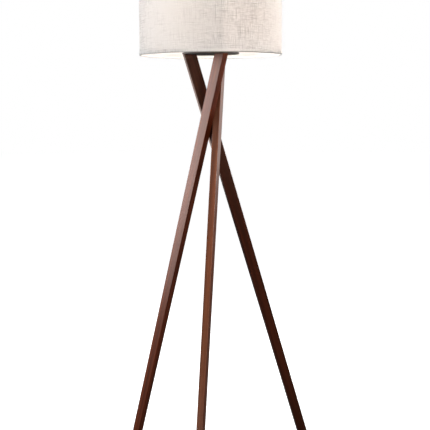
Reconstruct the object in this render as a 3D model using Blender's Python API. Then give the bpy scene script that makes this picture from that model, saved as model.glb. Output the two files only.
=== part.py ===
"""Tripod floor lamp: three crossed walnut legs under a steel hub plate, and a linen drum shade on a harp.

The lamp's axis is vertical. The legs are three copies of one leg, 120 degrees apart about that axis.
Each leg runs down and across, so the three pass close by the axis at the waist and spread to the floor.
"""

from math import cos, pi, radians, sin

import bmesh
import bpy
from mathutils import Matrix, Vector

# ---------------------------------------------------------------- driving dimensions, metres and degrees
HEIGHT = 1.600
GAP = 0.0003

# The lamp's axis stands here, so that the box around the whole lamp is centred on the origin.
AXIS = Vector((-0.0232, 0.0620, 0.0))

SHADE_RADIUS = 0.2286
SHADE_HEIGHT = 0.295
COVER_THICK = 0.0012
LINER_THICK = 0.0006
RING_WIRE = 0.0016
SHADE_SIDES = 72
RIM_Z = HEIGHT - SHADE_HEIGHT

PLATE_RADIUS = 0.0913
PLATE_THICK = 0.005
PLATE_Z = RIM_Z + 0.0041
PLATE_TOP = PLATE_Z + PLATE_THICK

# A leg's centre line goes through these two places: (height, distance from the axis, bearing).
LEG_UPPER = (RIM_Z, 0.0666, 179.6)
LEG_LOWER = (RIM_Z - 1.0058, 0.2476, 23.5)
LEG_WIDE = (0.0390, 0.0316)
LEG_NARROW = (0.0223, 0.0211)
LEG_ROLL = 93.1
LEG_CHAMFER = 0.0016
LEG_NAMES = {"right": 0, "left": 1, "front": 2}

PAD_THICK = 0.004
PAD_SCALE = 0.86

SCREW_SHANK = 0.0024
SCREW_HEAD = 0.0045
SCREW_HEAD_TALL = 0.0026
SCREW_LONG = 0.030
SCREW_REACH = {"outer": 0.0125, "inner": -0.0045}

WAIST_DROP = 0.2048
BLOCK_TALL = 0.034
DOWEL_RADIUS = 0.003
DOWEL_DEEP = 0.012
DOWEL_STEP = 0.009

# Heights from here on are measured up from the plate's top.
HARP_FOOT = 0.0223
HARP_STRAIGHT = 0.050
HARP_BELLY = 0.120
HARP_TOP = 0.250
SLEEVE_FOOT = 0.0126
NUT_LOW = 0.0026
NUT_TALL = 0.004
SWITCH_UP = 0.044
BULB_CENTRE = 0.131
STUD_TOP = 0.274
SPIDER_UP = 0.2564
FINIAL_LOW = 0.2577
FINIAL_BALL = 0.2715

BUSHING_X = 0.0485
NIPPLE_RADIUS = 0.0049
NIPPLE_BORE = 0.0052
HARP_HALF = 0.038
HARP_WIDEST = 0.0575
HARP_WIRE = 0.0018
BULB_RADIUS = 0.030
SPIDER_ARMS = (90, 210, 330)


# ---------------------------------------------------------------- making meshes
def material(name, colour, roughness, metallic=0.0, alpha=1.0):
    found = bpy.data.materials.get(name)
    if found:
        return found
    made = bpy.data.materials.new(name)
    made.use_nodes = True
    shader = made.node_tree.nodes["Principled BSDF"]
    shader.inputs["Base Color"].default_value = (*colour, 1.0)
    shader.inputs["Roughness"].default_value = roughness
    shader.inputs["Metallic"].default_value = metallic
    shader.inputs["Alpha"].default_value = alpha
    made.diffuse_color = (*colour, alpha)
    return made


def walnut():
    return material("walnut", (0.155, 0.048, 0.022), 0.38)


def bronze():
    return material("dark_bronze", (0.075, 0.062, 0.052), 0.45, 0.9)


def steel():
    return material("zinc_steel", (0.56, 0.56, 0.55), 0.35, 1.0)


def brass():
    return material("brass", (0.72, 0.50, 0.20), 0.30, 1.0)


def black_plastic():
    return material("black_plastic", (0.018, 0.018, 0.018), 0.42)


def place(name, mesh, finish, at=(0, 0, 0), turn=None):
    """Adds the mesh as a named object, `at` being measured from the foot of the lamp's axis."""
    bm = bmesh.new()
    bm.from_mesh(mesh)
    bmesh.ops.recalc_face_normals(bm, faces=bm.faces)
    bm.to_mesh(mesh)
    bm.free()
    mesh.name = name
    obj = bpy.data.objects.new(name, mesh)
    bpy.context.scene.collection.objects.link(obj)
    obj.matrix_world = Matrix.Translation(AXIS + Vector(at)) @ (turn or Matrix()).to_4x4()
    obj.data.materials.append(finish)
    obj.data.shade_smooth()
    obj.data.set_sharp_from_angle(angle=radians(35))
    return obj


def mesh_from(points, faces):
    mesh = bpy.data.meshes.new("piece")
    mesh.from_pydata([tuple(p) for p in points], [], faces)
    return mesh


def turned(profile, sides=24, ring=False):
    """A profile of (radius, height) turned about Z. With ring=True its last point joins its first."""
    points = []
    rows = []
    for radius, height in profile:
        if radius == 0:
            rows.append([len(points)] * sides)
            points.append((0, 0, height))
            continue
        rows.append(list(range(len(points), len(points) + sides)))
        for side in range(sides):
            angle = 2 * pi * side / sides
            points.append((radius * cos(angle), radius * sin(angle), height))
    pairs = list(zip(rows, rows[1:]))
    if ring:
        pairs.append((rows[-1], rows[0]))
    faces = []
    for low, high in pairs:
        for side in range(sides):
            after = (side + 1) % sides
            corners = [low[side], low[after], high[after], high[side]]
            faces.append([c for n, c in enumerate(corners) if c not in corners[:n]])
    if not ring:
        for row in (rows[0], rows[-1]):
            if row[0] != row[1]:
                faces.append(row)
    return mesh_from(points, faces)


def tube(outer, inner, low, high, sides=24):
    return turned([(outer, low), (outer, high), (inner, high), (inner, low)], sides, ring=True)


def rod(radius, low, high, sides=16):
    return turned([(radius, low), (radius, high)], sides)


def wire(path, radius, sides=8, closed=False):
    """A round wire along a path of points, with its ends capped unless it is closed."""
    path = [Vector(p) for p in path]
    count = len(path)
    points = []
    across = None
    for n, here in enumerate(path):
        before = path[n - 1] if n or closed else here
        after = path[(n + 1) % count] if n + 1 < count or closed else here
        along = (after - before).normalized()
        if across is None:
            across = along.orthogonal().normalized()
        across = (across - along * across.dot(along)).normalized()
        other = along.cross(across)
        for side in range(sides):
            angle = 2 * pi * side / sides
            points.append(here + radius * (across * cos(angle) + other * sin(angle)))
    faces = []
    for n in range(count if closed else count - 1):
        for side in range(sides):
            after = (side + 1) % sides
            far = (n + 1) % count
            faces.append([n * sides + side, n * sides + after, far * sides + after, far * sides + side])
    if not closed:
        faces += [list(range(sides)), list(range((count - 1) * sides, count * sides))]
    return mesh_from(points, faces)


def prism(low_outline, high_outline):
    """A solid between two outlines with the same number of points."""
    count = len(low_outline)
    faces = [list(range(count)), list(range(count, 2 * count))]
    for n in range(count):
        after = (n + 1) % count
        faces.append([n, after, count + after, count + n])
    return mesh_from([*low_outline, *high_outline], faces)


def arc(radius, height, start, stop, steps):
    """Points of (radius, height) along part of a circle centred on the axis at that height."""
    angles = [radians(start + (stop - start) * n / steps) for n in range(steps + 1)]
    return [(radius * cos(a) if abs(cos(a)) > 1e-6 else 0, height + radius * sin(a)) for a in angles]


def modify(obj, helper, operation="DIFFERENCE"):
    """Cuts the helper from the object, or joins it on, and hides the helper."""
    helper.hide_render = True
    helper.display_type = "WIRE"
    boolean = obj.modifiers.new(helper.name, "BOOLEAN")
    boolean.operation = operation
    boolean.solver = "EXACT"
    boolean.object = helper


def on_plate(x=0.0, up=0.0):
    """A place measured from the middle of the plate's top."""
    return (x, 0.0, PLATE_TOP + up)


def turn_to(direction):
    """The rotation that takes +Z to the direction."""
    return Vector(direction).to_track_quat("Z", "Y").to_matrix()


# ---------------------------------------------------------------- the tripod
class Leg:
    """Where one leg lies: its centre line, its section's two directions, and its corners at any height."""

    def __init__(self, bearing):
        spin = Matrix.Rotation(radians(bearing), 3, "Z")
        ends = []
        for height, distance, start in (LEG_UPPER, LEG_LOWER):
            angle = radians(start)
            ends.append(spin @ Vector((distance * cos(angle), distance * sin(angle), height)))
        self.upper, self.lower = ends
        self.down = (self.lower - self.upper).normalized()
        level = Vector((self.down.y, -self.down.x, 0)).normalized()
        steep = self.down.cross(level)
        roll = radians(LEG_ROLL)
        self.wide = level * cos(roll) + steep * sin(roll)
        self.narrow = level * -sin(roll) + steep * cos(roll)
        if self.narrow.dot(self.centre_at(RIM_Z - WAIST_DROP) * Vector((1, 1, 0))) < 0:
            self.narrow = -self.narrow

    def along(self, upper, lower, height):
        """The point at this height on the line between two points."""
        return upper + (lower - upper) * ((height - upper.z) / (lower.z - upper.z))

    def centre_at(self, height):
        return self.along(self.upper, self.lower, height)

    def edge_at(self, wide, narrow, chamfer_wide, chamfer_narrow, height):
        """A point of the section, `wide` and `narrow` being -1 to 1 and the chamfers a setback from it."""
        ends = []
        for n, end in enumerate((self.upper, self.lower)):
            across = wide * (LEG_WIDE[n] / 2 - chamfer_wide)
            through = narrow * (LEG_NARROW[n] / 2 - chamfer_narrow)
            ends.append(end + self.wide * across + self.narrow * through)
        return self.along(*ends, height)

    def outline_at(self, height):
        """The level section at this height, a rectangle with chamfered corners."""
        outline = []
        for wide, narrow in ((1, 1), (-1, 1), (-1, -1), (1, -1)):
            setbacks = [(0, LEG_CHAMFER), (LEG_CHAMFER, 0)]
            if wide * narrow < 0:
                setbacks.reverse()
            for chamfer_wide, chamfer_narrow in setbacks:
                outline.append(self.edge_at(wide, narrow, chamfer_wide, chamfer_narrow, height))
        return outline

    def inner_face(self):
        """A point on the face that looks at the lamp's axis, and its normal, pointing into the leg."""
        foot = self.edge_at(0, -1, 0, 0, self.upper.z)
        other = self.edge_at(0, -1, 0, 0, self.lower.z)
        normal = self.wide.cross(other - foot).normalized()
        return foot, normal if normal.dot(self.narrow) > 0 else -normal


LEGS = {name: Leg(120 * turn) for name, turn in LEG_NAMES.items()}


def screw_place(leg, reach):
    """The middle of a screw at the plate's top, `reach` from the leg's middle towards where the leg goes."""
    heading = Vector((leg.down.x, leg.down.y, 0)).normalized()
    return leg.centre_at(PLATE_Z) * Vector((1, 1, 0)) + heading * reach + Vector((0, 0, PLATE_TOP))


def dowel_line(name):
    """Where a dowel crosses its leg's inner face, and its direction into the leg."""
    leg = LEGS[name]
    height = RIM_Z - WAIST_DROP + DOWEL_STEP * (LEG_NAMES[name] - 1)
    point, normal = leg.inner_face()
    middle = leg.centre_at(height)
    return middle - normal * normal.dot(middle - point), normal


def legs():
    for name, leg in LEGS.items():
        body = place(
            f"leg_{name}",
            prism(leg.outline_at(PAD_THICK + GAP), leg.outline_at(PLATE_Z - GAP)),
            walnut(),
        )
        for key, reach in SCREW_REACH.items():
            deep = PLATE_THICK + SCREW_LONG + 0.001
            hole = rod(SCREW_SHANK + GAP, -deep, 0.001)
            modify(body, place(f"cut_{name}_{key}", hole, walnut(), screw_place(leg, reach)))
        at, normal = dowel_line(name)
        socket = rod(DOWEL_RADIUS + GAP, -0.002, DOWEL_DEEP + GAP)
        modify(body, place(f"cut_{name}_dowel", socket, walnut(), at, turn_to(normal)))


def foot_pads():
    rubber = material("black_rubber", (0.02, 0.019, 0.018), 0.8)
    for name, leg in LEGS.items():
        centre = leg.centre_at(PAD_THICK + GAP)
        outline = [(p - centre) * PAD_SCALE for p in leg.outline_at(PAD_THICK + GAP)]
        flat = centre * Vector((1, 1, 0))
        low = [Vector((p.x, p.y, 0)) for p in outline]
        high = [Vector((p.x, p.y, PAD_THICK)) for p in outline]
        place(f"foot_pad_{name}", prism(low, high), rubber, flat)


def waist_block():
    """The three-sided block between the legs, its sides lying along their inner faces, and its dowels."""
    outlines = []
    for height in (-BLOCK_TALL / 2, BLOCK_TALL / 2):
        height += RIM_Z - WAIST_DROP
        corners = []
        faces = [leg.inner_face() for leg in LEGS.values()]
        for n, (point, normal) in enumerate(faces):
            other_point, other_normal = faces[(n + 1) % 3]
            planes = Matrix((normal, other_normal, (0, 0, 1)))
            reach = Vector((normal.dot(point) - GAP, other_normal.dot(other_point) - GAP, height))
            corners.append(planes.inverted() @ reach)
        trimmed = []
        for n, corner in enumerate(corners):
            for other in (corners[n - 1], corners[(n + 1) % 3]):
                trimmed.append(corner.lerp(other, 0.09))
        outlines.append(trimmed)
    block = place("waist_block", prism(*outlines), walnut())
    beech = material("beech_dowel", (0.55, 0.36, 0.20), 0.6)
    for name in LEGS:
        at, normal = dowel_line(name)
        inside = 0.0075
        socket = rod(DOWEL_RADIUS + GAP, -inside - GAP, 0.002)
        modify(block, place(f"cut_block_{name}", socket, walnut(), at, turn_to(normal)))
        place(f"waist_dowel_{name}", rod(DOWEL_RADIUS, -inside, DOWEL_DEEP), beech, at, turn_to(normal))


def hub_plate():
    edge = 0.0008
    profile = [
        (PLATE_RADIUS - edge, PLATE_Z),
        (PLATE_RADIUS, PLATE_Z + edge),
        (PLATE_RADIUS, PLATE_TOP - edge),
        (PLATE_RADIUS - edge, PLATE_TOP),
    ]
    plate = place("hub_plate", turned(profile, 72), bronze())
    low = PLATE_Z - 0.01
    high = PLATE_TOP + 0.01
    modify(plate, place("cut_plate_nipple", rod(NIPPLE_BORE, low, high, 24), bronze()))
    modify(plate, place("cut_plate_cord", rod(0.0053, low, high, 24), bronze(), (BUSHING_X, 0, 0)))
    for name, leg in LEGS.items():
        for key, reach in SCREW_REACH.items():
            hole = rod(SCREW_SHANK + GAP, -0.01, 0.01)
            modify(plate, place(f"cut_plate_{name}_{key}", hole, bronze(), screw_place(leg, reach)))
            leg_screw(f"leg_screw_{name}_{key}", screw_place(leg, reach))


def leg_screw(name, at):
    """A pan-head screw, down through the plate into the end of a leg."""
    top = GAP + SCREW_HEAD_TALL
    profile = [
        (0, -SCREW_LONG),
        (SCREW_SHANK * 0.4, -SCREW_LONG),
        (SCREW_SHANK, -SCREW_LONG + 0.004),
        (SCREW_SHANK, GAP),
        (SCREW_HEAD, GAP),
        (SCREW_HEAD, GAP + 0.0012),
        (SCREW_HEAD * 0.7, top),
        (0, top),
    ]
    place(name, turned(profile, 16), steel(), at)


def cord_bushing():
    """The snap bushing that a cord would pass through, in the plate beside the socket."""
    barb = 0.0010
    flange = 0.0012
    under = -PLATE_THICK - GAP
    profile = [
        (0.0035, under - barb),
        (0.0052, under - barb),
        (0.0058, under),
        (0.0050, under),
        (0.0050, GAP),
        (0.0075, GAP),
        (0.0070, GAP + flange),
        (0.0035, GAP + flange),
    ]
    place("cord_bushing", turned(profile, 20, ring=True), black_plastic(), on_plate(BUSHING_X))


# ---------------------------------------------------------------- harp and socket, on the threaded nipple
def threaded_nipple():
    place("threaded_nipple", tube(NIPPLE_RADIUS, 0.0032, 0.0002 - PLATE_THICK, 0.0168), steel(), on_plate())
    corner = 0.0081
    outline = [(corner * cos(radians(60 * n)), corner * sin(radians(60 * n))) for n in range(6)]
    nut = prism([(x, y, NUT_LOW) for x, y in outline], [(x, y, NUT_LOW + NUT_TALL) for x, y in outline])
    nut = place("nipple_lock_nut", nut, steel(), on_plate())
    modify(nut, place("cut_nut", rod(NIPPLE_BORE, 0, 0.01, 24), steel(), on_plate()))


def harp_saddle():
    """The strap under the socket, turned up at both ends into the pins that hold the harp."""
    low = GAP
    thick = 0.002
    outer = HARP_HALF + 0.0019
    inner = HARP_HALF - 0.0019
    bend_top = SLEEVE_FOOT - GAP
    outline = [
        (-outer, bend_top), (-outer, low + thick), (-outer + thick, low), (outer - thick, low),
        (outer, low + thick), (outer, bend_top), (inner, bend_top), (inner, low + thick),
        (-inner, low + thick), (-inner, bend_top),
    ]  # fmt: skip
    half = 0.006
    strap = prism([(x, -half, z) for x, z in outline], [(x, half, z) for x, z in outline])
    strap = place("harp_saddle", strap, brass(), on_plate())
    for side, x in (("left", -HARP_HALF), ("right", HARP_HALF)):
        pin = rod(0.0018, bend_top - 0.004, HARP_FOOT - GAP)
        modify(strap, place(f"join_saddle_{side}", pin, brass(), on_plate(x)), "UNION")
        sleeve = [
            (0.0024, SLEEVE_FOOT),
            (0.0040, SLEEVE_FOOT),
            (0.0040, SLEEVE_FOOT + 0.002),
            (0.0034, SLEEVE_FOOT + 0.004),
            (0.0034, SLEEVE_FOOT + 0.0214),
            (0.0024, SLEEVE_FOOT + 0.0214),
        ]
        place(f"harp_sleeve_{side}", turned(sleeve, 16, ring=True), brass(), on_plate(x))
    modify(strap, place("cut_saddle", rod(NIPPLE_BORE, -0.01, 0.01, 24), brass(), on_plate()))


def harp():
    half = [(HARP_HALF, HARP_FOOT)]
    for n in range(9):
        t = n / 8
        blend = t * t * (3 - 2 * t)
        x = HARP_HALF + (HARP_WIDEST - HARP_HALF) * blend
        half.append((x, HARP_STRAIGHT + (HARP_BELLY - HARP_STRAIGHT) * t))
    for n in range(1, 12):
        angle = radians(90 * n / 12)
        half.append((HARP_WIDEST * cos(angle), HARP_BELLY + (HARP_TOP - HARP_BELLY) * sin(angle)))
    path = [(x, 0, z) for x, z in half] + [(0, 0, HARP_TOP)] + [(-x, 0, z) for x, z in reversed(half)]
    place("harp", wire(path, HARP_WIRE), brass(), on_plate())
    low = HARP_TOP + HARP_WIRE + GAP
    high = low + 0.003
    profile = [(0.006, low), (0.006, high), (0.003, high), (0.003, STUD_TOP)]
    place("harp_stud", turned(profile, 20), brass(), on_plate())


def socket():
    cap = [
        (0.0052, 0.0069),
        (0.0075, 0.0069),
        (0.0075, 0.0130),
        (0.0120, 0.0162),
        (0.0155, 0.0205),
        (0.0170, 0.0250),
        (0.0170, 0.0320),
        (0.0162, 0.0320),
        (0.0162, 0.0254),
        (0.0148, 0.0212),
        (0.0114, 0.0170),
        (0.0072, 0.0140),
        (0.0052, 0.0140),
    ]
    place("socket_cap", turned(cap, 28, ring=True), brass(), on_plate())
    shell = place("socket_shell", tube(0.0159, 0.0151, 0.0260, 0.0750, 28), brass(), on_plate())
    card = material("insulating_card", (0.40, 0.33, 0.24), 0.9)
    sleeve = place("socket_insulator", tube(0.0148, 0.0142, 0.0262, 0.0745, 28), card, on_plate())
    phenolic = material("phenolic", (0.03, 0.022, 0.018), 0.5)
    core = place("socket_core", rod(0.0139, 0.0258, 0.0510, 24), phenolic, on_plate())
    toward_front = turn_to((0, -1, 0))
    switch_at = on_plate(up=SWITCH_UP)
    for piece, radius, start in ((shell, 0.0034, 0.012), (sleeve, 0.0034, 0.012), (core, 0.0026, 0.006)):
        hole = rod(radius, start, 0.020)
        modify(piece, place(f"cut_{piece.name}", hole, phenolic, switch_at, toward_front))
    place("screw_shell", tube(0.0139, 0.0135, 0.0513, 0.0735, 24), brass(), on_plate())
    place("centre_contact", rod(0.003, 0.0513, 0.0525), brass(), on_plate())
    place("switch_collar", tube(0.0044, 0.0026, 0.0162, 0.0182, 16), steel(), switch_at, toward_front)
    knob = [
        (0, 0.0065),
        (0.0022, 0.0065),
        (0.0022, 0.0188),
        (0.0048, 0.0188),
        (0.0055, 0.0200),
        (0.0050, 0.0305),
        (0.0040, 0.0315),
        (0, 0.0315),
    ]
    place("switch_knob", turned(knob, 16), black_plastic(), switch_at, toward_front)


def bulb():
    base = [
        (0, 0.0530),
        (0.0040, 0.0530),
        (0.0055, 0.0545),
        (0.0128, 0.0585),
        (0.0128, 0.0780),
        (0, 0.0780),
    ]
    place("bulb_base", turned(base, 24), steel(), on_plate())
    glass = 0.001
    outer = [(0.0133, 0.0783), (0.0138, 0.0870)] + arc(BULB_RADIUS, BULB_CENTRE, -48, 90, 8)
    inner = [(0.0123, 0.0783), (0.0128, 0.0870)] + arc(BULB_RADIUS - glass, BULB_CENTRE, -48, 90, 8)
    frosted = material("frosted_glass", (0.92, 0.91, 0.88), 0.35)
    place("bulb_globe", turned(inner[::-1] + outer, 24), frosted, on_plate())


# ---------------------------------------------------------------- the shade
def shade_ring(name, height, radius):
    angles = [2 * pi * n / SHADE_SIDES for n in range(SHADE_SIDES)]
    path = [(radius * cos(a), radius * sin(a), height) for a in angles]
    white = material("white_enamel", (0.80, 0.79, 0.76), 0.4)
    place(name, wire(path, RING_WIRE, 6, closed=True), white)


def shade():
    linen = material("linen", (0.80, 0.76, 0.70), 0.95)
    inner = SHADE_RADIUS - COVER_THICK
    place("shade_cover", tube(SHADE_RADIUS, inner, RIM_Z, HEIGHT, SHADE_SIDES), linen)
    styrene = material("styrene", (0.88, 0.88, 0.86), 0.5)
    outer = inner - GAP
    inner = outer - LINER_THICK
    place("shade_liner", tube(outer, inner, RIM_Z + 0.0005, HEIGHT - 0.0005, SHADE_SIDES), styrene)
    ring_radius = inner - GAP - RING_WIRE
    shade_ring("shade_bottom_ring", RIM_Z + 0.0025, ring_radius)
    shade_ring("shade_top_ring", HEIGHT - 0.0025, ring_radius)
    spider(ring_radius - RING_WIRE - GAP)


def spider(reach):
    """The hub on the harp's stud, and three arms that rise to the shade's top ring."""
    white = material("white_enamel", (0.80, 0.79, 0.76), 0.4)
    hub = tube(0.011, 0.0036, SPIDER_UP - 0.001, SPIDER_UP + 0.001, 24)
    hub = place("shade_spider", hub, white, on_plate())
    low = PLATE_TOP + SPIDER_UP
    top = HEIGHT - 0.0025
    for number, bearing in enumerate(SPIDER_ARMS, 1):
        path = [(0.0088, 0, low), (0.030, 0, low), (0.200, 0, top), (reach, 0, top)]
        spin = Matrix.Rotation(radians(bearing), 3, "Z")
        arm = place(f"join_arm_{number}", wire(path, 0.00175, 8), white, turn=spin)
        modify(hub, arm, "UNION")


def finial():
    low = FINIAL_LOW
    deep = STUD_TOP + 0.001
    profile = [(0.0033, deep), (0.0033, low), (0.0070, low), (0.0070, low + 0.002)]
    profile += arc(0.0095, FINIAL_BALL, -60, 90, 7)
    place("finial", turned(profile, 20), brass(), on_plate())


for old in list(bpy.data.objects):
    bpy.data.objects.remove(old)
legs()
foot_pads()
waist_block()
hub_plate()
cord_bushing()
threaded_nipple()
harp_saddle()
harp()
socket()
bulb()
shade()
finial()
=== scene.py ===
"""The looks of the tripod floor lamp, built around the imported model.

Lengths are in metres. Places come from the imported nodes' boxes and outlines, read once below.
"""

from math import atan2, cos, pi, radians, sin

import bmesh
import bpy
import numpy as np
from mathutils import Matrix, Vector, geometry

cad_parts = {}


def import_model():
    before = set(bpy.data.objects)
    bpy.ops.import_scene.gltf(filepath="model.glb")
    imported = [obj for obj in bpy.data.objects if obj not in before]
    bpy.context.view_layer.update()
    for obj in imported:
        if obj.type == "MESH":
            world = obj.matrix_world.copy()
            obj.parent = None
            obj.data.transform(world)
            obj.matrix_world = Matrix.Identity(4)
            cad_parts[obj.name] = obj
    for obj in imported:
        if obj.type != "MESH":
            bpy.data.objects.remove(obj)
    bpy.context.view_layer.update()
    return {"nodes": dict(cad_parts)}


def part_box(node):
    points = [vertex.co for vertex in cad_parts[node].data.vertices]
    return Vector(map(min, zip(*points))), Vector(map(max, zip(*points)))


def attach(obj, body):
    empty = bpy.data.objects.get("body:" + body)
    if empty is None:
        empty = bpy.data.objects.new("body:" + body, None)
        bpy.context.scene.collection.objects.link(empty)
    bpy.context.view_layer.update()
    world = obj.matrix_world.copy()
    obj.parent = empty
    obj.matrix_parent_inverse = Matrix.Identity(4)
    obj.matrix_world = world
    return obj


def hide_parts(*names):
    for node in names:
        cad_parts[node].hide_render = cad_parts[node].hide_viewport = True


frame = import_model()

# ---------------------------------------------------------------- places read from the frame
shade_low, shade_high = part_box("shade_cover")
plate_low, plate_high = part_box("hub_plate")
RIM_Z = shade_low.z
TOP_Z = shade_high.z
SHADE_RADIUS = (shade_high.x - shade_low.x) / 2
AXIS = Vector(((shade_low.x + shade_high.x) / 2, (shade_low.y + shade_high.y) / 2, 0))
PLATE_TOP = plate_high.z
liner_low, liner_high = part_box("shade_liner")
LINER_OUTER = (liner_high.x - liner_low.x) / 2
ring_low, ring_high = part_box("shade_bottom_ring")
RING_WIRE = (ring_high.z - ring_low.z) / 2 + 0.00005
RING_RADIUS = (ring_high.x - ring_low.x) / 2 - RING_WIRE

# ---------------------------------------------------------------- camera, light and floor
CAMERA_AWAY = 3.528
CAMERA_RIGHT = 0.0108
CAMERA_UNDER_RIM = 0.1719
CAMERA_PITCH = 5.55
CAMERA_ROLL = -0.34
LENS = 91.1
BULB_LIGHT = 0.104  # above the plate's top
FLOOR_RADIUS = 25.0

# name, bearing, height, distance, size, power, colour, height looked at
SOFTBOXES = (
    ("left", -88, 0.95, 2.4, (0.9, 1.5), 14, (0.93, 0.95, 1.0), 0.92),
    ("left_rear", -108, 1.3, 2.6, (0.9, 1.4), 66, (0.84, 0.91, 1.0), 1.3),
    ("behind_left", -156, 1.2, 2.6, (0.6, 1.5), 6, (1.0, 0.80, 0.72), 1.0),
    ("high_left", -40, 3.6, 1.8, (1.2, 1.2), 68, (0.95, 0.96, 1.0), 1.0),
    ("front", 5, 2.6, 3.2, (1.7, 1.7), 64, (1.0, 1.0, 0.98), 1.0),
    ("low_front", -20, 0.5, 3.2, (1.6, 0.8), 12, (1.0, 1.0, 1.0), 1.3),
    ("front_right", 45, 1.4, 2.6, (0.9, 0.9), 9, (1.0, 0.65, 0.55), 1.4),
    ("right", 116, 1.50, 2.5, (0.9, 1.2), 66, (0.94, 0.98, 1.0), 1.40),
    ("right_rear", 152, 1.15, 2.5, (0.6, 1.5), 2.5, (1.0, 0.96, 0.94), 1.0),
    ("overhead", 0, 3.3, 0.2, (2.0, 2.0), 26, (1.0, 1.0, 1.0), 0.0),
)


def aim(obj, target):
    obj.rotation_euler = (target - obj.location).to_track_quat("-Z", "Y").to_euler()


def camera():
    made = bpy.data.objects.new("camera", bpy.data.cameras.new("camera"))
    bpy.context.scene.collection.objects.link(made)
    made.data.lens = LENS
    made.data.sensor_width = 36.0
    made.data.clip_end = 60.0
    place = Matrix.Translation(AXIS + Vector((CAMERA_RIGHT, -CAMERA_AWAY, RIM_Z - CAMERA_UNDER_RIM)))
    tilt = Matrix.Rotation(radians(90 - CAMERA_PITCH), 4, "X")
    made.matrix_world = place @ tilt @ Matrix.Rotation(radians(CAMERA_ROLL), 4, "Z")
    bpy.context.scene.camera = made


def softbox(name, bearing, height, away, size, power, colour, look_at):
    """An area light at a bearing from the front, positive to the right, aimed at the axis."""
    data = bpy.data.lights.new(name, "AREA")
    data.shape = "RECTANGLE"
    data.size, data.size_y = size
    data.energy = power
    data.color = colour
    made = bpy.data.objects.new(name, data)
    bpy.context.scene.collection.objects.link(made)
    angle = radians(bearing)
    made.location = AXIS + Vector((away * sin(angle), -away * cos(angle), height))
    aim(made, AXIS + Vector((0, 0, look_at)))


def world():
    """White to the camera, and nearly dark to everything else, so that the softboxes light it."""
    made = bpy.data.worlds.new("studio")
    bpy.context.scene.world = made
    made.use_nodes = True
    tree = made.node_tree
    background = tree.nodes["Background"]
    path = tree.nodes.new("ShaderNodeLightPath")
    mix = tree.nodes.new("ShaderNodeMixRGB")
    mix.inputs["Color1"].default_value = (0.012, 0.011, 0.011, 1)
    mix.inputs["Color2"].default_value = (1.0, 1.0, 1.0, 1)
    tree.links.new(path.outputs["Is Camera Ray"], mix.inputs["Fac"])
    tree.links.new(mix.outputs["Color"], background.inputs["Color"])


def floor():
    """A wide pale floor, bright enough to meet the white background without a line."""
    bm = bmesh.new()
    bmesh.ops.create_circle(bm, cap_ends=True, radius=FLOOR_RADIUS, segments=96)
    mesh = bpy.data.meshes.new("floor")
    bm.to_mesh(mesh)
    bm.free()
    made = bpy.data.objects.new("floor", mesh)
    bpy.context.scene.collection.objects.link(made)
    finish = bpy.data.materials.new("pale_floor")
    finish.use_nodes = True
    tree = finish.node_tree
    shader = tree.nodes["Principled BSDF"]
    shader.inputs["Roughness"].default_value = 0.9
    shader.inputs["Specular IOR Level"].default_value = 0.0
    shader.inputs["Emission Color"].default_value = (1, 1, 1, 1)
    place = tree.nodes.new("ShaderNodeTexCoord")
    length = tree.nodes.new("ShaderNodeVectorMath")
    length.operation = "LENGTH"
    tree.links.new(place.outputs["Object"], length.inputs[0])
    spread = tree.nodes.new("ShaderNodeMapRange")
    spread.inputs["From Min"].default_value = 0.6
    spread.inputs["From Max"].default_value = 2.2
    spread.inputs["To Min"].default_value = 0.62
    spread.inputs["To Max"].default_value = 1.0
    tree.links.new(length.outputs["Value"], spread.inputs["Value"])
    path = tree.nodes.new("ShaderNodeLightPath")
    paint = tree.nodes.new("ShaderNodeMixRGB")
    paint.inputs["Color1"].default_value = (0.05, 0.045, 0.04, 1)
    paint.inputs["Color2"].default_value = (0.80, 0.80, 0.80, 1)
    tree.links.new(path.outputs["Is Camera Ray"], paint.inputs["Fac"])
    tree.links.new(paint.outputs["Color"], shader.inputs["Base Color"])
    seen = tree.nodes.new("ShaderNodeMath")
    seen.operation = "MULTIPLY"
    tree.links.new(spread.outputs["Result"], seen.inputs[0])
    tree.links.new(path.outputs["Is Camera Ray"], seen.inputs[1])
    tree.links.new(seen.outputs["Value"], shader.inputs["Emission Strength"])
    mesh.materials.append(finish)


def studio():
    """The camera, the white surroundings, the softboxes and the lit bulb."""
    bpy.context.scene.view_settings.view_transform = "Standard"
    camera()
    world()
    floor()
    for box in SOFTBOXES:
        softbox(*box)
    glow = bpy.data.lights.new("bulb_glow", "POINT")
    glow.energy = 17.0
    glow.color = (1.0, 0.82, 0.73)
    glow.shadow_soft_size = 0.028
    made = bpy.data.objects.new("bulb_glow", glow)
    bpy.context.scene.collection.objects.link(made)
    made.location = AXIS + Vector((0, 0, PLATE_TOP + BULB_LIGHT))


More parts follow.
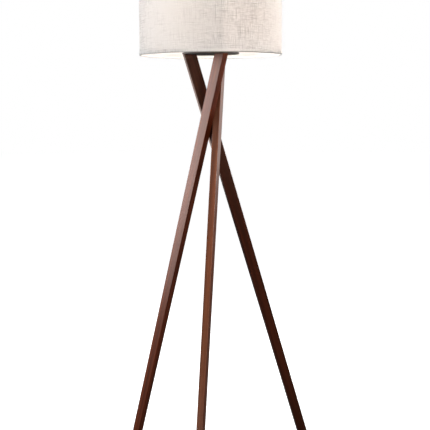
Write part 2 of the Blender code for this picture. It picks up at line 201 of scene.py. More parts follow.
# ---------------------------------------------------------------- materials
class Finish:
    """A material whose nodes are added one by one; `shader` is its Principled BSDF."""

    def __init__(self, name, colour, roughness, metallic=0.0, **plain):
        self.made = bpy.data.materials.new(name)
        self.made.use_nodes = True
        self.tree = self.made.node_tree
        self.shader = self.tree.nodes["Principled BSDF"]
        self.set("Base Color", (*colour, 1.0))
        self.set("Roughness", roughness)
        self.set("Metallic", metallic)
        for key, value in plain.items():
            self.set(key.replace("_", " "), value)

    def set(self, socket, value):
        """Gives one of the shader's sockets a value, or links a node's output to it."""
        self.feed(self.shader.inputs[socket], value)

    def feed(self, socket, value):
        if isinstance(value, bpy.types.NodeSocket):
            self.tree.links.new(value, socket)
        else:
            socket.default_value = value

    def add(self, kind, output=0, settings=(), **inputs):
        """Adds a node and returns one output. An input's key is its name, or iN for number N."""
        node = self.tree.nodes.new("ShaderNode" + kind)
        for key, value in dict(settings).items():
            setattr(node, key, value)
        for key, value in inputs.items():
            numbered = key[0] == "i" and key[1:].isdigit()
            self.feed(node.inputs[int(key[1:]) if numbered else key.replace("_", " ")], value)
        return node.outputs[output]

    def noise(self, where, scale, detail=2.0, rough=0.5, twist=0.0):
        shape = {"Scale": scale, "Detail": detail, "Roughness": rough, "Distortion": twist}
        return self.add("TexNoise", Vector=where, **shape)

    def place(self, scale=(1, 1, 1), shift=(0, 0, 0), source="Object"):
        """The piece's own coordinates, its cloth's or its wood's, shifted and then stretched."""
        if source == "grain":
            where = self.add("Attribute", "Vector", {"attribute_name": "grain"})
        elif source == "UV":
            where = self.add("UVMap")
        else:
            where = self.add("TexCoord", source)
        moved = self.add("VectorMath", 0, {"operation": "ADD"}, i0=where, i1=shift)
        return self.add("VectorMath", 0, {"operation": "MULTIPLY"}, i0=moved, i1=scale)

    def ramp(self, value, stops):
        """Stops are (place, brightness or colour)."""
        node = self.tree.nodes.new("ShaderNodeValToRGB")
        band = node.color_ramp
        while len(band.elements) < len(stops):
            band.elements.new(0.5)
        for element, (at, colour) in zip(band.elements, stops):
            element.position = at
            element.color = (*colour, 1) if hasattr(colour, "__len__") else (colour, colour, colour, 1)
        self.feed(node.inputs[0], value)
        return node.outputs[0]

    def mix(self, factor, first, second, blend="MIX"):
        node = self.tree.nodes.new("ShaderNodeMix")
        node.data_type = "RGBA"
        node.blend_type = blend
        for key, value in (("Factor", factor), ("A", first), ("B", second)):
            if not isinstance(value, bpy.types.NodeSocket) and hasattr(value, "__len__"):
                value = (*value, 1.0)
            kind = "VALUE" if key == "Factor" else "RGBA"
            self.feed(next(s for s in node.inputs if s.name == key and s.type == kind), value)
        return next(s for s in node.outputs if s.type == "RGBA")

    def math(self, operation, first, second=0.0):
        return self.add("Math", 0, {"operation": operation}, i0=first, i1=second)

    def bump(self, height, strength, distance):
        self.set("Normal", self.add("Bump", 0, Strength=strength, Distance=distance, Height=height))

    def pass_light(self, share, colour):
        """Lets a share of the light through in a colour, as thin cloth or plastic does."""
        through = self.add("BsdfTranslucent", Color=colour)
        both = self.add("MixShader", 0, (), i0=share, i1=self.shader.outputs[0], i2=through)
        out = next(n for n in self.tree.nodes if n.type == "OUTPUT_MATERIAL")
        self.tree.links.new(both, out.inputs["Surface"])


# walnut's dark, middle and light colours, and what each leg's walnut is multiplied by: partly its
# board's own tone and partly painted light and shade, the right leg darkened and the front leg
# lightened for how light falls on them
WALNUT = ((0.042, 0.0095, 0.0045), (0.094, 0.024, 0.0105), (0.160, 0.048, 0.023))
LEG_TONES_AND_PAINTED_LIGHT = {"right": (0.36, 0.27, 0.24), "left": (0.96, 0.69, 0.50), "front": (1.10, 1.22, 1.16)}
BLOCK_SEED, BLOCK_TONE = 5, (0.8, 0.8, 0.8)

# the linen: its white, how far its slubs show in reflected light, and how their strength swings
# round the shade, in metres of cloth
LINEN_WHITE = (0.880, 0.884, 0.882)
SLUBS_SEEN = 0.14
SLUBBIEST_AT, SLUBBY_EVERY = 0.89, 0.479


def walnut(name, seed, tone):
    """Straight-grained walnut under satin lacquer. `grained` says where each point lies in it."""
    finish = Finish(name, WALNUT[1], 0.36, IOR=1.60, Coat_Weight=0.15, Coat_Roughness=0.20)
    finish.set("Specular Tint", (1.0, 0.62, 0.46, 1))
    shift = (0.37 * seed, 0.11 * seed, 1.7 * seed)
    streaks = finish.noise(finish.place((95, 95, 2.2), shift, "grain"), 1.0, 4.0, 0.62, 0.9)
    bands = finish.noise(finish.place((28, 28, 0.9), shift, "grain"), 1.0, 2.0, 0.5, 0.6)
    fibres = finish.noise(finish.place((700, 700, 9.0), shift, "grain"), 1.0, 2.0, 0.7)
    pores = finish.noise(finish.place((1500, 1500, 55.0), shift, "grain"), 1.0, 1.0)
    dark, mid, light = [tuple(t * c for t, c in zip(tone, colour)) for colour in WALNUT]
    figure = finish.ramp(streaks, ((0.30, dark), (0.50, mid), (0.70, light)))
    broad = finish.ramp(bands, ((0.32, 0.72), (0.66, 1.22)))
    fine = finish.ramp(fibres, ((0.30, 0.80), (0.65, 1.12)))
    pits = finish.ramp(pores, ((0.30, 0.45), (0.40, 1.0)))
    colour = finish.mix(1.0, figure, broad, "MULTIPLY")
    colour = finish.mix(0.8, colour, fine, "MULTIPLY")
    colour = finish.mix(0.6, colour, pits, "MULTIPLY")
    finish.set("Base Color", colour)
    finish.set("Roughness", finish.ramp(streaks, ((0.3, 0.36), (0.7, 0.28))))
    relief = finish.math("ADD", finish.math("MULTIPLY", fibres, 0.5), pits)
    finish.bump(relief, 0.10, 0.00012)
    return finish.made


def linen(name, tone=1.0, through=0.80):
    """Slubbed linen in metres of cloth: U runs round the shade and V up it. It lets light through."""
    white = tuple(tone * c for c in LINEN_WHITE)
    finish = Finish(name, white, 0.92, Sheen_Weight=0.15, Sheen_Roughness=0.5, Specular_IOR_Level=0.25)
    where = finish.place(source="UV")
    drift = finish.noise(where, 30.0, 2.0)
    bent = finish.add("VectorMath", 0, {"operation": "SCALE"}, i0=drift, Scale=0.0008)
    bent = finish.add("VectorMath", 0, {"operation": "ADD"}, i0=where, i1=bent)

    def stretched(along, across, detail, shift):
        moved = finish.add("VectorMath", 0, {"operation": "ADD"}, i0=bent, i1=shift)
        scaled = finish.add("VectorMath", 0, {"operation": "MULTIPLY"}, i0=moved, i1=(along, across, 1))
        return finish.noise(scaled, 1.0, detail, 0.55)

    weft = stretched(20, 290, 3.0, (0, 0, 0))
    warp = stretched(270, 17, 3.0, (7.3, 2.1, 0))
    fine_weft = stretched(60, 620, 2.0, (1.9, 5.5, 0))
    fine_warp = stretched(580, 52, 2.0, (4.1, 8.7, 0))
    patches = stretched(16, 18, 2.0, (11.0, 3.0, 0))
    thick_weft = finish.ramp(weft, ((0.26, 0.46), (0.40, 0.84), (0.52, 1.0)))
    thick_warp = finish.ramp(warp, ((0.27, 0.50), (0.40, 0.86), (0.52, 1.0)))
    threads = finish.mix(1.0, thick_weft, thick_warp, "MULTIPLY")
    threads = finish.mix(0.8, threads, finish.ramp(fine_weft, ((0.25, 0.62), (0.6, 1.0))), "MULTIPLY")
    threads = finish.mix(0.8, threads, finish.ramp(fine_warp, ((0.25, 0.66), (0.6, 1.0))), "MULTIPLY")
    past = finish.math("SUBTRACT", finish.add("SeparateXYZ", 0, (), Vector=where), SLUBBIEST_AT)
    wave = finish.math("COSINE", finish.math("MULTIPLY", past, 2 * pi / SLUBBY_EVERY))
    swing = finish.math("MULTIPLY", wave, 0.32)
    slubby = finish.math("ADD", swing, finish.math("MULTIPLY", patches, 1.1))
    even = finish.mix(slubby, (0.945, 0.945, 0.945), threads)
    cloudy = finish.mix(1.0, even, finish.ramp(patches, ((0.3, 0.95), (0.7, 1.03))), "MULTIPLY")
    full = finish.mix(1.0, white, cloudy, "MULTIPLY")
    finish.set("Base Color", finish.mix(SLUBS_SEEN, white, full))
    weave = finish.math("ADD", finish.math("ADD", weft, warp), finish.math("ADD", fine_weft, fine_warp))
    finish.bump(weave, 0.10, 0.0005)
    finish.pass_light(through, full)
    return finish.made


def styrene():
    """The smooth white backing, which lets some light through."""
    finish = Finish("styrene", (0.93, 0.92, 0.89), 0.45)
    mottle = finish.noise(finish.place((60, 60, 60)), 1.0, 3.0)
    shades = ((0.3, (0.92, 0.91, 0.88)), (0.7, (0.94, 0.93, 0.905)))
    finish.set("Base Color", finish.ramp(mottle, shades))
    finish.pass_light(0.92, (0.96, 0.955, 0.94, 1))
    return finish.made


def metal(name, colour, roughness, grain=0.05):
    """A plated or brushed metal with fine uneven roughness."""
    finish = Finish(name, colour, roughness, 1.0)
    fine = finish.noise(finish.place((900, 900, 900)), 1.0, 2.0)
    smudge = finish.noise(finish.place((60, 60, 60)), 1.0, 3.0)
    both = finish.math("ADD", finish.math("MULTIPLY", fine, 0.4), finish.math("MULTIPLY", smudge, 0.6))
    finish.set("Roughness", finish.ramp(both, ((0.3, roughness - grain), (0.7, roughness + grain))))
    finish.set("Base Color", finish.ramp(smudge, ((0.3, [0.94 * c for c in colour]), (0.7, colour))))
    finish.bump(fine, 0.04, 0.0001)
    return finish.made


def coated(name, colour, roughness, scale=1400, depth=0.00008):
    """Paint, powder coat, plastic or rubber with a fine skin."""
    finish = Finish(name, colour, roughness)
    skin = finish.noise(finish.place((scale, scale, scale)), 1.0, 2.0)
    broad = finish.noise(finish.place((35, 35, 35)), 1.0, 3.0)
    finish.set("Base Color", finish.ramp(broad, ((0.3, [0.88 * c for c in colour]), (0.7, colour))))
    finish.set("Roughness", finish.ramp(broad, ((0.3, roughness - 0.05), (0.7, roughness + 0.06))))
    finish.bump(skin, 0.2, depth)
    return finish.made


# ---------------------------------------------------------------- making pieces
def assign(obj, finish, smooth=35.0):
    """Gives an object its one material, smooth but for edges sharper than an angle."""
    obj.data.materials.clear()
    obj.data.materials.append(finish)
    obj.data.shade_smooth()
    obj.data.set_sharp_from_angle(angle=radians(smooth))


def piece(name, mesh, body, slot, finish, *nodes, smooth=35.0):
    """Adds a mesh as a piece that rides on a body and stands for the nodes."""
    obj = bpy.data.objects.new(name, mesh)
    bpy.context.scene.collection.objects.link(obj)
    mesh.name = name
    assign(obj, finish, smooth)
    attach(obj, body)
    if nodes:
        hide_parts(*nodes)
    return obj


def flat_sides(obj):
    """Shades the wide faces flat beside their rounded arrises."""
    obj.modifiers.new("flat_sides", "WEIGHTED_NORMAL").weight = 100


def mesh_of(points, faces):
    mesh = bpy.data.meshes.new("piece")
    mesh.from_pydata([tuple(p) for p in points], [], faces)
    bm = bmesh.new()
    bm.from_mesh(mesh)
    bmesh.ops.recalc_face_normals(bm, faces=bm.faces)
    bm.to_mesh(mesh)
    bm.free()
    return mesh


def turned(profile, sides=64, ring=False, centre=AXIS, turn=None):
    """A profile of (radius, height) turned about the lamp's axis, or `turn`'s Z through `centre`."""
    points = []
    rows = []
    for radius, height in profile:
        if radius == 0:
            rows.append([len(points)] * sides)
            points.append(Vector((0, 0, height)))
            continue
        rows.append(list(range(len(points), len(points) + sides)))
        for side in range(sides):
            angle = 2 * pi * side / sides
            points.append(Vector((radius * cos(angle), radius * sin(angle), height)))
    pairs = list(zip(rows, rows[1:]))
    if ring:
        pairs.append((rows[-1], rows[0]))
    faces = []
    for low, high in pairs:
        for side in range(sides):
            after = (side + 1) % sides
            corners = [low[side], low[after], high[after], high[side]]
            faces.append([c for n, c in enumerate(corners) if c not in corners[:n]])
    if not ring:
        for row in (rows[0], rows[-1]):
            if row[0] != row[1]:
                faces.append(row)
    turn = turn or Matrix.Identity(3)
    return mesh_of([Vector(centre) + turn @ p for p in points], faces)


def lofted(count, rows):
    """The faces of a closed solid whose points are `rows` outlines of `count` points each."""
    faces = [list(range(count)), list(range((rows - 1) * count, rows * count))]
    for row in range(rows - 1):
        low, high = row * count, (row + 1) * count
        for side in range(count):
            after = (side + 1) % count
            faces.append([low + side, low + after, high + after, high + side])
    return faces


def rounded(profile, radius=0.0004, steps=3, ring=False):
    """The same profile with each corner cut by a small arc."""
    count = len(profile)
    out = []
    for n, here in enumerate(profile):
        if not ring and n in (0, count - 1):
            out.append(here)
            continue
        here = Vector(here)
        before = Vector(profile[n - 1])
        after = Vector(profile[(n + 1) % count])
        back = min(radius, (before - here).length * 0.45)
        on = min(radius, (after - here).length * 0.45)
        start = here + (before - here).normalized() * back
        stop = here + (after - here).normalized() * on
        for step in range(steps + 1):
            t = step / steps
            out.append(tuple(start * (1 - t) ** 2 + here * 2 * t * (1 - t) + stop * t * t))
    return out


def wire(path, radius, sides=16, closed=False):
    """A round wire along a path, with domed ends unless it is closed."""
    path = [Vector(p) for p in path]
    radii = [radius] * len(path)
    if not closed:
        for end, inward in ((0, 1), (len(path) - 1, -1)):
            step = (path[end + inward] - path[end]).normalized()
            tip = path[end]
            extra = [tip + step * radius * (1 - cos(a)) for a in (0.35, 0.8, 1.57)]
            sizes = [radius * sin(a) for a in (0.35, 0.8, 1.57)]
            if end == 0:
                path = extra + path[1:]
                radii = sizes + radii[1:]
            else:
                path = path[:-1] + extra[::-1]
                radii = radii[:-1] + sizes[::-1]
    count = len(path)
    points = []
    across = None
    for n, here in enumerate(path):
        before = path[n - 1] if n or closed else here
        after = path[(n + 1) % count] if n + 1 < count or closed else here
        along = (after - before).normalized()
        if across is None:
            across = along.orthogonal().normalized()
        across = (across - along * across.dot(along)).normalized()
        other = along.cross(across)
        for side in range(sides):
            angle = 2 * pi * side / sides
            points.append(here + radii[n] * (across * cos(angle) + other * sin(angle)))
    faces = []
    for n in range(count if closed else count - 1):
        for side in range(sides):
            after = (side + 1) % sides
            far = (n + 1) % count
            faces.append([n * sides + side, n * sides + after, far * sides + after, far * sides + side])
    if not closed:
        faces += [list(range(sides)), list(range((count - 1) * sides, count * sides))]
    return mesh_of(points, faces)


# ---------------------------------------------------------------- legs and feet
ARRIS_STEPS = 5
ARRIS_FULLNESS = 0.62


def outline_of(node, top):
    """The node's level outline at its top or its bottom, as places in order round it."""
    points = [v.co for v in frame["nodes"][node].data.vertices]
    level = max(p.z for p in points) if top else min(p.z for p in points)
    flat = [p for p in points if abs(p.z - level) < 2e-5]
    order = geometry.convex_hull_2d([p.xy for p in flat])
    ring = [flat[n] for n in order]
    return [p for n, p in enumerate(ring) if (p - ring[n - 1]).length > 2e-4]


def corners_rounded(ring):
    """An eight-point outline of four sides and four short chamfers, each chamfer made an arc."""
    sides = [(ring[n] - ring[n - 1]).length for n in range(len(ring))]
    if sides[0] > sides[1]:
        ring = ring[1:] + ring[:1]
    out = []
    for n in range(0, len(ring), 2):
        start, stop = ring[n - 1], ring[n]
        before, after = ring[n - 2], ring[(n + 1) % len(ring)]
        corner = geometry.intersect_line_line(before, start, stop, after)[0]
        middle = (start + stop) / 2
        corner = middle + (corner - middle) * ARRIS_FULLNESS
        for step in range(ARRIS_STEPS + 1):
            t = step / ARRIS_STEPS
            out.append(start * (1 - t) ** 2 + corner * 2 * t * (1 - t) + stop * t * t)
    return out


def matched(ring, other):
    """The second rounded outline, started at the corner that lies the same way as the first's."""
    middle, other_middle = centre_of(ring), centre_of(other)
    want = (ring[0] - middle).normalized()
    corners = range(0, len(other), ARRIS_STEPS + 1)
    start = max(corners, key=lambda n: (other[n] - other_middle).normalized().dot(want))
    return other[start:] + other[:start]


def grained(mesh, board):
    """Keeps each point's place in its board, where Z runs along the grain."""
    into = board.inverted()
    grain = mesh.attributes.new("grain", "FLOAT_VECTOR", "POINT")
    for vertex, place in zip(mesh.vertices, grain.data):
        place.vector = into @ vertex.co


def centre_of(ring):
    return sum(ring, Vector()) / len(ring)


def between_ends(node, rows):
    """A mesh lofted up the node's two end outlines. Each row is (share of the way up, size).

    Also returns the middles of the foot and the top, and the top's outline.
    """
    top = corners_rounded(outline_of(node, True))
    foot = matched(top, corners_rounded(outline_of(node, False)))
    foot_middle, top_middle = centre_of(foot), centre_of(top)
    points = []
    for share, size in rows:
        middle = foot_middle.lerp(top_middle, share)
        points += [middle + (low.lerp(high, share) - middle) * size for low, high in zip(foot, top)]
    return mesh_of(points, lofted(len(top), len(rows))), foot_middle, top_middle, top


def leg(name, seed, tone):
    """One leg with its ends eased and its grain running along it."""
    rows = [(0.0, 0.955), (0.0004, 0.982), (0.0012, 1.0)]
    rows += [(n / 60, 1.0) for n in range(1, 60)]
    rows += [(0.9988, 1.0), (0.9996, 0.982), (1.0, 0.955)]
    mesh, foot_middle, top_middle, top = between_ends(f"leg_{name}", rows)
    along = (top_middle - foot_middle).normalized()
    wide = max((top[n] - top[n - 1] for n in range(len(top))), key=lambda v: v.length)
    wide = (wide - along * wide.dot(along)).normalized()
    board = Matrix((wide, along.cross(wide), along)).transposed().to_4x4()
    board.translation = foot_middle
    grained(mesh, board)
    finish = walnut(f"walnut_{name}", seed, tone)
    flat_sides(piece(f"walnut_leg_{name}", mesh, "stand", "walnut", finish, f"leg_{name}"))


def waist_block():
    """The three-sided block where the legs cross, its arrises softened and its grain upright."""
    rows = [(0.0, 0.94), (0.02, 0.98), (0.05, 1.0), (0.35, 1.0)]
    rows += [(0.65, 1.0), (0.95, 1.0), (0.98, 0.98), (1.0, 0.94)]
    mesh, foot_middle, _, _ = between_ends("waist_block", rows)
    grained(mesh, Matrix.Translation(foot_middle))
    finish = walnut("walnut_block", BLOCK_SEED, BLOCK_TONE)
    flat_sides(piece("walnut_waist_block", mesh, "stand", "walnut", finish, "waist_block"))


def foot_pad(name, finish):
    """A moulded rubber pad with a softened rim."""
    low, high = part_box(f"foot_pad_{name}")
    ring = corners_rounded(outline_of(f"foot_pad_{name}", False))
    middle = centre_of(ring)
    rows = ((low.z, 0.93), (low.z + 0.0003, 0.97), (low.z + 0.0010, 1.0))
    rows += ((high.z - 0.0006, 1.0), (high.z, 0.96))
    points = []
    for height, size in rows:
        for p in ring:
            spot = middle + (p - middle) * size
            points.append(Vector((spot.x, spot.y, height)))
    mesh = mesh_of(points, lofted(len(ring), len(rows)))
    flat_sides(piece(f"rubber_pad_{name}", mesh, "stand", "rubber", finish, f"foot_pad_{name}"))


# ---------------------------------------------------------------- the shade
SEAM_BEARING = radians(72)
CLOTH_THICK = 0.0008
OVERLAP = 0.014
HEM_TALL = 0.010
HEM_LAP = 0.003
HEM_ROLL = 0.0024


def cloth():
    """The linen, one sheet wrapped round the drum with its end lapped over its start at the back."""
    outer = SHADE_RADIUS - 0.0006
    columns, rows = 720, 110
    span = 2 * pi + OVERLAP / SHADE_RADIUS
    rng = np.random.default_rng(7)
    low, high = RIM_Z + HEM_TALL - HEM_LAP, TOP_Z - HEM_TALL + HEM_LAP
    slubs = rng.normal(0, 1, (rows + 1, columns + 1))
    weft = sum(np.roll(slubs, k, 1) for k in range(24)) / 24**0.5
    warp = sum(np.roll(rng.normal(0, 1, (rows + 1, columns + 1)), k, 0) for k in range(14)) / 14**0.5
    relief = np.clip((weft + warp) * 0.00006, -0.0002, 0.0002)
    bm = bmesh.new()
    layer = bm.loops.layers.uv.new("cloth")
    grid = []
    for row in range(rows + 1):
        height = low + (high - low) * row / rows
        line = []
        for column in range(columns + 1):
            turn = span * column / columns
            lap = max(0.0, (turn - 2 * pi + 0.05) / 0.05)
            under = max(0.0, 1 - turn / (span - 2 * pi + 0.03))
            radius = outer - 0.0004 + 0.0004 * min(1.0, lap) - 0.0007 * min(1.0, under * 2)
            radius += float(relief[row, column])
            angle = SEAM_BEARING + turn
            line.append(bm.verts.new(AXIS + Vector((radius * cos(angle), radius * sin(angle), height))))
        grid.append(line)
    for row in range(rows):
        for column in range(columns):
            corners = [(column + c, row + r) for c, r in ((0, 0), (1, 0), (1, 1), (0, 1))]
            face = bm.faces.new([grid[r][c] for c, r in corners])
            for loop, (c, r) in zip(face.loops, corners):
                loop[layer].uv = c / columns * span * SHADE_RADIUS, r / rows * (high - low)
    mesh = bpy.data.meshes.new("cloth")
    bm.to_mesh(mesh)
    bm.free()
    made = piece("linen_cover", mesh, "shade", "linen", linen("linen"), "shade_cover", smooth=60)
    thick = made.modifiers.new("thickness", "SOLIDIFY")
    thick.thickness = CLOTH_THICK
    thick.offset = -1.0
    return made, (2 * pi * SHADE_RADIUS + OVERLAP, high - low)


def hem(name, edge, way, cloth_finish, painted_shade_finish):
    """The folded linen band round a rim: down the outside, round the wire and up the inside.

    `edge` is the rim's height, and `way` is 1 where the shade rises from it or -1 where it falls. The
    faces round the rolled edge take the second finish: a darker linen that is painted shade under the
    roll, and opaque where the wire lies inside.
    """
    thick = 0.0007
    outer = SHADE_RADIUS - 0.00005
    inner = RING_RADIUS - RING_WIRE - thick - 0.0002
    quarter = [radians(90 * step / 6) for step in range(7)]
    path = [(outer, HEM_TALL), (outer, HEM_TALL * 0.6)]
    path += [(outer - HEM_ROLL * (1 - cos(a)), HEM_ROLL * (1 - sin(a))) for a in quarter]
    small = (outer - inner - HEM_ROLL) * 0.9
    path += [(inner + small * (1 - sin(a)), small * (1 - cos(a))) for a in quarter]
    path += [(inner, HEM_TALL * 0.45)]
    inside = []
    for n, (radius, height) in enumerate(path):
        before = Vector(path[max(n - 1, 0)])
        after = Vector(path[min(n + 1, len(path) - 1)])
        along = (after - before).normalized()
        inside.append((radius + along.y * thick, height - along.x * thick))
    loop = path + inside[::-1]
    loop = [(radius, edge + way * height) for radius, height in loop]
    mesh = turned(loop, 240, ring=True)
    layer = mesh.uv_layers.new(name="cloth")
    for face in mesh.polygons:
        base = None
        for index in face.loop_indices:
            spot = mesh.vertices[mesh.loops[index].vertex_index].co - AXIS
            angle = atan2(spot.y, spot.x)
            base = angle if base is None else base
            angle = base + (angle - base + pi) % (2 * pi) - pi
            layer.data[index].uv = (angle * SHADE_RADIUS, spot.z + spot.xy.length)
    made = piece(name, mesh, "shade", "linen", cloth_finish, smooth=50)
    mesh.materials.append(painted_shade_finish)
    for face in mesh.polygons:
        # the faces round the rolled edge get the darker finish, which is painted shade under the roll
        face.material_index = int(abs(face.center.z - edge) < HEM_ROLL * 0.8)
    return made


def shade():
    """The linen cover with its folded bands, the liner, the two rim wires and the spider."""
    cover, size = cloth()
    # the hem's own linen, and its rolled edge darkened as painted shade and opaque over the wire
    finishes = linen("linen_hem", 1.07, 0.84), linen("linen_hem_painted_shade_edge", 0.55, 0.0)
    bands = [
        hem("linen_hem_bottom", RIM_Z + 0.00005, 1, *finishes),
        hem("linen_hem_top", TOP_Z - 0.00005, -1, *finishes),
    ]
    inner = LINER_OUTER - 0.0006
    low, high = liner_low.z + 0.002, liner_high.z - 0.002
    profile = [(LINER_OUTER, low), (LINER_OUTER, high), (inner, high), (inner, low)]
    liner = turned(profile, 240, ring=True)
    piece("styrene_liner", liner, "shade", "styrene", styrene(), "shade_liner")
    white = coated("white_enamel", (0.80, 0.79, 0.76), 0.36)
    for end in ("bottom", "top"):
        low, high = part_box(f"shade_{end}_ring")
        angles = [2 * pi * n / 240 for n in range(240)]
        middle = (low.z + high.z) / 2
        path = [AXIS + Vector((RING_RADIUS * cos(a), RING_RADIUS * sin(a), middle)) for a in angles]
        ring = wire(path, RING_WIRE, 12, closed=True)
        piece(f"rim_wire_{end}", ring, "shade", "white_enamel", white, f"shade_{end}_ring")
    spider(white)


def spider(finish):
    """The washer on the harp's stud and three arms that rise to the top ring, welded at both ends."""
    low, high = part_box("shade_spider")
    hub_low = low.z + 0.00075
    hub = [(0.0037, hub_low), (0.0108, hub_low), (0.0108, hub_low + 0.002), (0.0037, hub_low + 0.002)]
    washer = turned(rounded(hub, 0.0005, 3, True), 48, True)
    piece("spider_hub", washer, "shade", "white_enamel", finish)
    top = high.z - 0.00175
    reach = RING_RADIUS - RING_WIRE - 0.0004
    middle = hub_low + 0.001
    for number, bearing in enumerate((90, 210, 330), 1):
        knots = [(0.0088, middle), (0.030, middle), (0.200, top), (reach, top)]
        path = rounded(knots, 0.012, 8)
        spin = Matrix.Rotation(radians(bearing), 3, "Z")
        points = [AXIS + spin @ Vector((r, 0, z)) for r, z in path]
        arm = wire(points, 0.0017, 14)
        nodes = ["shade_spider"] if number == 1 else []
        piece(f"spider_arm_{number}", arm, "shade", "white_enamel", finish, *nodes)


# ---------------------------------------------------------------- harp, socket and bulb
def arc(radius, height, start, stop, steps):
    """Part of a circle round a point on the axis, as (radius, height). Angles are in degrees."""
    angles = [radians(start + (stop - start) * n / steps) for n in range(steps + 1)]
    return [(radius * cos(a) if abs(cos(a)) > 1e-6 else 0, height + radius * sin(a)) for a in angles]


def lift(profile):
    """Heights measured from the plate's top, put in place."""
    return [(radius, PLATE_TOP + height) for radius, height in profile]


def fittings(brass, steel, black):
    """The harp with its stud and sleeves, the socket's cap, the switch's knob and the bulb."""
    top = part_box("harp")[1].z - PLATE_TOP - 0.0018
    half, wide, belly = 0.038, 0.0575, 0.120
    path = [(half, 0.0223), (half, 0.036)]
    for n in range(25):
        t = n / 24
        blend = t * t * (3 - 2 * t)
        path.append((half + (wide - half) * blend, 0.050 + (belly - 0.050) * t))
    for n in range(1, 33):
        angle = radians(90 * n / 33)
        path.append((wide * cos(angle), belly + (top - belly) * sin(angle)))
    path = path + [(0, top)] + [(-x, z) for x, z in reversed(path)]
    path = [AXIS + Vector((x, 0, PLATE_TOP + z)) for x, z in path]
    piece("harp_wire", wire(path, 0.00178, 16), "stand", "brass", brass, "harp")
    low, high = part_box("harp_stud")
    base = low.z - PLATE_TOP
    stud = [(0, base), (0.006, base), (0.006, base + 0.0029), (0.0027, base + 0.0029)]
    turns = 15
    for n in range(turns * 2):
        stud.append((0.0030 if n % 2 else 0.0026, base + 0.0032 + n * 0.00056))
    stud += [(0.0022, high.z - PLATE_TOP - 0.0001), (0, high.z - PLATE_TOP - 0.0001)]
    piece("harp_top_stud", turned(lift(stud), 40), "stand", "brass", brass, "harp_stud")
    for side, x in (("left", -half), ("right", half)):
        sleeve = [
            (0.0023, 0.0126), (0.0039, 0.0126), (0.0040, 0.0138), (0.0034, 0.0160),
            (0.0034, 0.0330), (0.0031, 0.0340), (0.0023, 0.0340),
        ]  # fmt: skip
        shape = turned(rounded(lift(sleeve), 0.0004, 3, True), 40, True, AXIS + Vector((x, 0, 0)))
        piece(f"sleeve_{side}", shape, f"sleeve_{side}", "brass", brass, f"harp_sleeve_{side}")
    cap = [
        (0.0053, 0.0070), (0.0075, 0.0070), (0.0075, 0.0130), (0.0120, 0.0162), (0.0155, 0.0205),
        (0.0169, 0.0250), (0.0169, 0.0300), (0.0170, 0.0308), (0.0170, 0.0319), (0.0163, 0.0319),
        (0.0162, 0.0254), (0.0148, 0.0212), (0.0114, 0.0170), (0.0072, 0.0140), (0.0053, 0.0140),
    ]  # fmt: skip
    shape = turned(rounded(lift(cap), 0.0006, 3, True), 64, True)
    piece("brass_cap", shape, "stand", "brass", brass, "socket_cap")
    assign(frame["nodes"]["socket_shell"], brass)
    knob = [(0, 0.0066), (0.0021, 0.0066), (0.0021, 0.0189), (0.0046, 0.0189), (0.0054, 0.0202)]
    knob += [(0.0050, 0.0300), (0.0044, 0.0311), (0.0030, 0.0314), (0, 0.0314)]
    knob = rounded(knob, 0.0003, 2)
    at = AXIS + Vector((0, 0, PLATE_TOP + 0.044))
    toward_front = Vector((0, -1, 0)).to_track_quat("Z", "Y").to_matrix()
    mesh = turned(knob, 72, centre=at, turn=toward_front)
    for vertex in mesh.vertices:
        out = toward_front.inverted() @ (vertex.co - at)
        if out.z > 0.0195 and out.xy.length > 0.0035:
            angle = atan2(out.y, out.x)
            flute = 1 - 0.055 * (0.5 + 0.5 * cos(24 * angle))
            vertex.co = at + toward_front @ Vector((out.x * flute, out.y * flute, out.z))
    piece("fluted_knob", mesh, "switch", "black_plastic", black, "switch_knob")
    bulb(steel)


def bulb(steel):
    """An ordinary frosted bulb: a threaded cap and a pear-shaped globe."""
    base = [(0, 0.0531), (0.0038, 0.0531), (0.0046, 0.0540), (0.0055, 0.0546), (0.0115, 0.0580)]
    turns = 5
    for n in range(turns * 8):
        angle = 2 * pi * n / 8
        base.append((0.0122 + 0.0005 * cos(angle), 0.0592 + n * 0.0175 / (turns * 8)))
    base += [(0.0127, 0.0774), (0.0127, 0.0779), (0, 0.0779)]
    piece("bulb_cap", turned(lift(base), 64), "bulb", "steel", steel, "bulb_base")
    outer = [(0.0133, 0.0784), (0.0136, 0.0830), (0.0146, 0.0885), (0.0168, 0.0965)]
    outer += arc(0.0299, 0.131, -44, 90, 26)
    inner = [(0.0125, 0.0784), (0.0128, 0.0830), (0.0138, 0.0885), (0.0160, 0.0965)]
    inner += arc(0.0291, 0.131, -44, 90, 26)
    glass = Finish("frosted_glass", (0.93, 0.92, 0.89), 0.32, Coat_Weight=0.3, Coat_Roughness=0.1)
    frost = glass.noise(glass.place((1200, 1200, 1200)), 1.0, 2.0)
    glass.bump(frost, 0.08, 0.00005)
    glass.set("Base Color", glass.ramp(frost, ((0.3, (0.90, 0.89, 0.86)), (0.7, (0.95, 0.94, 0.92)))))
    shape = turned(lift(inner[::-1] + outer), 72)
    globe = piece("bulb_glass", shape, "bulb", "frosted_glass", glass.made, "bulb_globe")
    globe.visible_shadow = False


def finial(brass):
    """A turned ball on a small waisted foot."""
    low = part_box("finial")[0].z - PLATE_TOP
    foot = [(0, low + 0.0173), (0.0033, low + 0.0173), (0.0033, low + 0.0001), (0.0069, low + 0.0001)]
    foot += [(0.0070, low + 0.0013), (0.0062, low + 0.0025), (0.0044, low + 0.0035)]
    foot += [(0.0039, low + 0.0045), (0.0044, low + 0.0055)]
    ball = arc(0.0094, low + 0.0138, -58, 90, 24)
    shape = turned(lift(rounded(foot, 0.0003, 2) + ball), 64)
    piece("ball_finial", shape, "finial", "brass", brass, "finial")


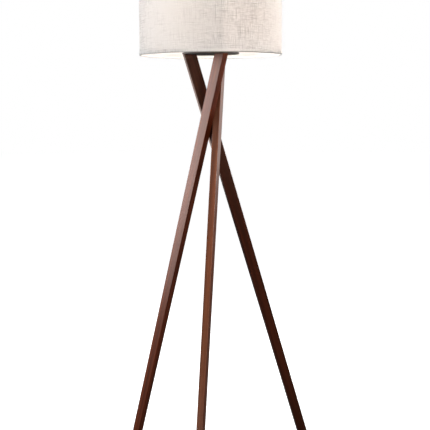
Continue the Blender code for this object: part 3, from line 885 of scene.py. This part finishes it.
def screw(node, finish):
    """A pan-head wood screw with a cross recess."""
    low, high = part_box(node)
    at = Vector(((low.x + high.x) / 2, (low.y + high.y) / 2, high.z - 0.0029))
    profile = [(0, -0.0300), (0.0004, -0.0298)]
    for n in range(44):
        profile.append(((0.0023 if n % 2 else 0.0016) * min(1, 0.25 + n / 12), -0.0290 + n * 0.0005))
    profile += [(0.0022, -0.0065), (0.0022, 0.00035), (0.0044, 0.00035), (0.0045, 0.0010)]
    profile += [(0.0045 * cos(radians(a)), 0.0010 + 0.0018 * sin(radians(a))) for a in (20, 40, 60, 75)]
    profile += [(0, 0.0028)]
    made = piece(f"{node}_cross", turned(profile, 32, centre=at), "stand", "steel", finish, node)
    bm = bmesh.new()
    for size in ((0.0040, 0.0008, 0.0024), (0.0008, 0.0040, 0.0024)):
        shape = Matrix.Translation(at + Vector((0, 0, 0.0028))) @ Matrix.Diagonal((*size, 1))
        bmesh.ops.create_cube(bm, size=1.0, matrix=shape)
    mesh = bpy.data.meshes.new("recess")
    bm.to_mesh(mesh)
    bm.free()
    recess = bpy.data.objects.new("recess", mesh)
    bpy.context.scene.collection.objects.link(recess)
    cut = made.modifiers.new("recess", "BOOLEAN")
    cut.operation = "DIFFERENCE"
    cut.use_self = True
    cut.object = recess
    bpy.context.view_layer.objects.active = made
    bpy.ops.object.modifier_apply(modifier=cut.name)
    bpy.data.objects.remove(recess)


studio()
rubber = coated("black_rubber", (0.025, 0.024, 0.022), 0.75)
# each leg's walnut takes its multiplier, which holds painted light and shade as well as the board's
# tone
for number, (name, tone) in enumerate(LEG_TONES_AND_PAINTED_LIGHT.items(), 1):
    leg(name, number, tone)
    foot_pad(name, rubber)
waist_block()
shade()
brass = metal("brass", (0.72, 0.52, 0.24), 0.26)
steel = metal("zinc_steel", (0.60, 0.60, 0.59), 0.32)
black = coated("black_plastic", (0.02, 0.02, 0.02), 0.38)
fittings(brass, steel, black)
finial(brass)
for name in LEG_TONES_AND_PAINTED_LIGHT:
    for key in ("outer", "inner"):
        screw(f"leg_screw_{name}_{key}", steel)
bronze = coated("dark_bronze", (0.115, 0.098, 0.085), 0.55)
for node, finish in {
    "hub_plate": bronze,
    "harp_saddle": brass,
    "threaded_nipple": steel,
    "nipple_lock_nut": steel,
    "cord_bushing": black,
    "switch_collar": steel,
    "socket_insulator": coated("insulating_card", (0.40, 0.33, 0.24), 0.9),
    "socket_core": coated("phenolic", (0.03, 0.022, 0.018), 0.45),
    "screw_shell": brass,
    "centre_contact": brass,
}.items():
    assign(frame["nodes"][node], finish)
for name in LEG_TONES_AND_PAINTED_LIGHT:
    assign(frame["nodes"][f"waist_dowel_{name}"], coated("beech", (0.52, 0.35, 0.19), 0.6))
